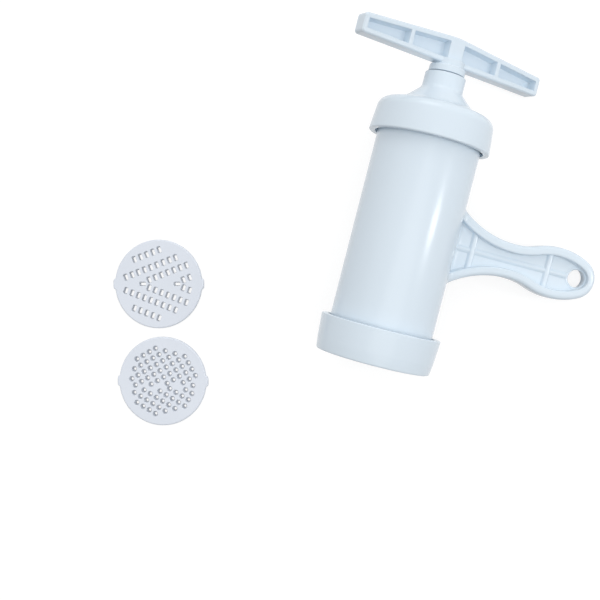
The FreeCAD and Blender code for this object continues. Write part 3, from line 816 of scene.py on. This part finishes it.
def paint_shade_in_hollows(material, centres, reach, lowest, highest, shade):
    """Paints shade on the hole walls within reach of the centres (x, y), between two levels, by deepening their
    colour.
    """
    tree = material.node_tree
    shader = tree.nodes["Principled BSDF"]
    split = node_of(tree, "ShaderNodeSeparateXYZ", Vector=place_of(tree)).outputs
    flat = node_of(tree, "ShaderNodeCombineXYZ", X=split["X"], Y=split["Y"]).outputs[0]
    nearest = maths(tree, "MINIMUM", *(maths(tree, "DISTANCE", flat, (x * MM, y * MM, 0), "ShaderNodeVectorMath")
                                       for x, y in centres))
    within = maths(tree, "LESS_THAN", nearest, reach * MM)
    above = maths(tree, "GREATER_THAN", split["Z"], lowest * MM)
    below = maths(tree, "LESS_THAN", split["Z"], highest * MM)
    inside = maths(tree, "MULTIPLY", within, maths(tree, "MULTIPLY", above, below))
    plain = shader.inputs["Base Color"].links[0].from_socket
    # Painted shade: the base colour is multiplied down on the hole walls, as if they lay in shadow.
    painted_shade = node_of(tree, "ShaderNodeMixRGB", Fac=inside, Color1=plain, Color2=(shade, shade, shade, 1))
    painted_shade.blend_type = "MULTIPLY"
    feed(tree, shader.inputs["Base Color"], painted_shade.outputs[0])


def plated_steel(name):
    """Bright plated metal with a fine grain in its gloss."""
    material, tree, shader = new_material(name)
    grain = node_of(tree, "ShaderNodeTexNoise", Vector=place_of(tree), Scale=1500.0, Detail=3.0, Roughness=0.6)
    rough = node_of(tree, "ShaderNodeMapRange", Value=grain.outputs["Fac"], To_Min=0.22, To_Max=0.42)
    feed(tree, shader.inputs["Roughness"], rough.outputs["Result"])
    shader.inputs["Base Color"].default_value = (0.70, 0.70, 0.71, 1)
    shader.inputs["Metallic"].default_value = 1.0
    return material


PRESS_COLOUR, PRESS_DEEP = (0.72, 0.825, 0.915), (0.705, 0.81, 0.90)
DIE_COLOUR, DIE_DEEP = (0.775, 0.83, 0.915), (0.755, 0.81, 0.895)

body_plastic = moulded_plastic("body_plastic_white", PRESS_COLOUR, PRESS_DEEP, 0.20)
die_plastic = moulded_plastic("die_plastic_white", DIE_COLOUR, DIE_DEEP, 0.30, mottle_scale=25.0)
# Painted shade: the hole walls of the loose dies are coloured darker than their faces, as if in shadow.
paint_shade_in_hollows(die_plastic, (SLOTTED_DIE_PLACE, ROUND_DIE_PLACE), reach=28.0,
              lowest=0.25 - RIM_RADIUS, highest=DIE_THICKNESS - 0.3 - RIM_RADIUS, shade=0.76)
screw_plastic = moulded_plastic("screw_plastic_white", PRESS_COLOUR, PRESS_DEEP, 0.26)
steel = plated_steel("fastener_steel_plated")


def dress(piece, body, material, slot, *nodes):
    """Rides a piece on its body, gives it and the CAD nodes it stands for its finish, and hides those nodes."""
    for obj in (piece, *(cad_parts[node] for node in nodes)):
        obj.data.materials.clear()
        obj.data.materials.append(material)
    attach(piece, body)
    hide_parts(*nodes)


# ---------------------------------------------------------------- the pieces

dress(smooth(moved(make_barrel(), to_row)), "barrel", body_plastic, "body_plastic", "barrel")
dress(smooth(moved(make_handle(), to_row), 40), "barrel", body_plastic, "body_plastic", "side_handle")
dress(smooth(moved(make_cap(), to_row)), "cap", body_plastic, "body_plastic", "top_cap")
dress(smooth(moved(make_ring(), to_row)), "ring", body_plastic, "body_plastic", "retaining_ring")
dress(softened("crank_handle", "crank_handle_moulding", 0.35), "crank", body_plastic, "body_plastic", "crank_handle")
dress(smooth(moved(make_screw(), to_row)), "crank", screw_plastic, "screw_plastic", "drive_screw")
dress(softened("plunger", "plunger_moulding", 0.25), "plunger", screw_plastic, "screw_plastic", "plunger")
dress(smooth(moved(make_plunger_screw(), to_row)), "crank", steel, "fastener_steel", "plunger_screw")

fitted = die_plate("fitted_die_moulding", square_hole, square_hole_places(), FINE_FLARE)
moved(fitted, to_row @ Matrix.Translation((0, 0, DIE_FACE)))
dress(fitted, "die_in_use", die_plastic, "die_plastic", "fitted_die")
slotted = die_plate("slotted_die_moulding", slot, slot_places(), SLOT_FLARE)
dress(moved(slotted, beside(SLOTTED_DIE_PLACE)), "slotted_die", die_plastic, "die_plastic", "slotted_die")
pierced = die_plate("round_hole_die_moulding", round_hole, round_hole_places(), HOLE_FLARE)
dress(moved(pierced, beside(ROUND_DIE_PLACE)), "round_hole_die", die_plastic, "die_plastic", "round_hole_die")

# ---------------------------------------------------------------- floor, world and lamps

FLOOR_LEVEL = -RIM_RADIUS * MM
FLOOR_HALF = 8.0                # metres
AMBIENT_COLOUR = (1.0, 0.985, 0.975, 1)
AMBIENT_STRENGTH = 0.925
AMBIENT_FALL = (0.0, 0.84, 0.0)  # so much less light comes from the side that this points away from
PRESS_MIDDLE = (0, 0.08, 0)


def grey(level):
    return (level, level, level, 1)


def backed(tree, lit, seen, end):
    """Ends a tree with one shader for lighting, and another for the rays that should see the white background."""
    path = tree.nodes.new("ShaderNodeLightPath").outputs
    looks = maths(tree, "MAXIMUM", path["Is Camera Ray"], path["Is Glossy Ray"])
    looks = maths(tree, "MAXIMUM", looks, path["Is Transmission Ray"])
    mix = node_of(tree, "ShaderNodeMixShader", Fac=looks)
    tree.links.new(lit.outputs[0], mix.inputs[1])
    tree.links.new(seen.outputs[0], mix.inputs[2])
    tree.links.new(mix.outputs[0], tree.nodes[end].inputs["Surface"])


def make_floor():
    """A table that is seen as white, keeps the object's shadow and throws only some light back."""
    bm = bmesh.new()
    bm.faces.new([bm.verts.new((x * FLOOR_HALF, y * FLOOR_HALF, FLOOR_LEVEL))
                  for x, y in ((-1, -1), (1, -1), (1, 1), (-1, 1))])
    floor = from_bmesh("floor", bm)
    material, tree, plain = new_material("floor_white")
    tree.nodes.remove(plain)
    table = node_of(tree, "ShaderNodeBsdfDiffuse", Color=(0.42, 0.42, 0.43, 1))
    shadowed = node_of(tree, "ShaderNodeBsdfDiffuse", Color=grey(0.26))
    glow = node_of(tree, "ShaderNodeEmission", Color=grey(1), Strength=0.82)
    backdrop = tree.nodes.new("ShaderNodeAddShader")
    tree.links.new(shadowed.outputs[0], backdrop.inputs[0])
    tree.links.new(glow.outputs[0], backdrop.inputs[1])
    backed(tree, table, backdrop, "Material Output")
    floor.data.materials.append(material)


def make_world():
    """Soft light from all round, weaker from one side; white for the rays that see the background."""
    world = bpy.data.worlds.new("studio")
    bpy.context.scene.world = world
    world.use_nodes = True
    tree = world.node_tree
    along = maths(tree, "DOT_PRODUCT", place_of(tree, "Generated"), AMBIENT_FALL, "ShaderNodeVectorMath")
    level = maths(tree, "ADD", maths(tree, "MINIMUM", along, 0.0), AMBIENT_STRENGTH)
    ambient = tree.nodes["Background"]
    ambient.inputs["Color"].default_value = AMBIENT_COLOUR
    feed(tree, ambient.inputs["Strength"], level)
    white = node_of(tree, "ShaderNodeBackground", Color=grey(1), Strength=1.0)
    backed(tree, ambient, white, "World Output")


def lamp(name, place, target, size, watts, size_y=None):
    """An area lamp that points at its target: square, or a strip when it has a second size."""
    data = bpy.data.lights.new(name, "AREA")
    data.energy = watts
    data.size = size
    if size_y:
        data.shape = "RECTANGLE"
        data.size_y = size_y
    made = new_object(name, data)
    made.location = place
    made.rotation_euler = (Vector(target) - Vector(place)).to_track_quat("-Z", "Y").to_euler()


make_floor()
make_world()
lamp("key_softbox", (-0.25, 1.15, 0.60), PRESS_MIDDLE, size=0.5, watts=1.6)
lamp("fill_softbox", (0.30, -0.1, 1.3), PRESS_MIDDLE, size=1.0, watts=2.8)
lamp("strip", (0.75, 0.17, 0.50), (0, 0.10, 0), size=0.05, size_y=0.18, watts=0.8)

# ---------------------------------------------------------------- camera

LEAN = math.radians(6)          # of the view from straight down, towards the side handle
ROLL = 0.2496                   # radians, like the pitch
PITCH = 0.035
FOCAL_PIXELS = 988.0
IMAGE_PIXELS = 600.0
SENSOR = 36.0
CAMERA_AT = (-57.2, -663.6, 51.1)   # along the image's X, away from the camera, along the screw


def from_view_axes(along, away, up):
    """A direction or a place in the frame, from the leaning view's own axes."""
    return Vector((along * math.cos(LEAN) - away * math.sin(LEAN), up,
                   -along * math.sin(LEAN) - away * math.cos(LEAN)))


def make_camera():
    """Sets the lens, the place and the view, which leans, pitches and rolls a little from straight down."""
    data = bpy.data.cameras.new("camera")
    data.sensor_width = SENSOR
    data.sensor_fit = "HORIZONTAL"
    data.lens = SENSOR * FOCAL_PIXELS / IMAGE_PIXELS
    data.clip_start = 0.01
    camera = new_object("camera", data)
    look = from_view_axes(0, math.cos(PITCH), -math.sin(PITCH))
    level_up = from_view_axes(0, math.sin(PITCH), math.cos(PITCH))
    level_right = from_view_axes(1, 0, 0)
    up = level_up * math.cos(ROLL) - level_right * math.sin(ROLL)
    right = level_right * math.cos(ROLL) + level_up * math.sin(ROLL)
    axes = Matrix((right, up, -look)).transposed().to_4x4()
    camera.matrix_world = Matrix.Translation(from_view_axes(*CAMERA_AT) * MM) @ axes
    bpy.context.scene.camera = camera


make_camera()
bpy.context.scene.view_settings.view_transform = "Standard"

bpy.context.view_layer.update()
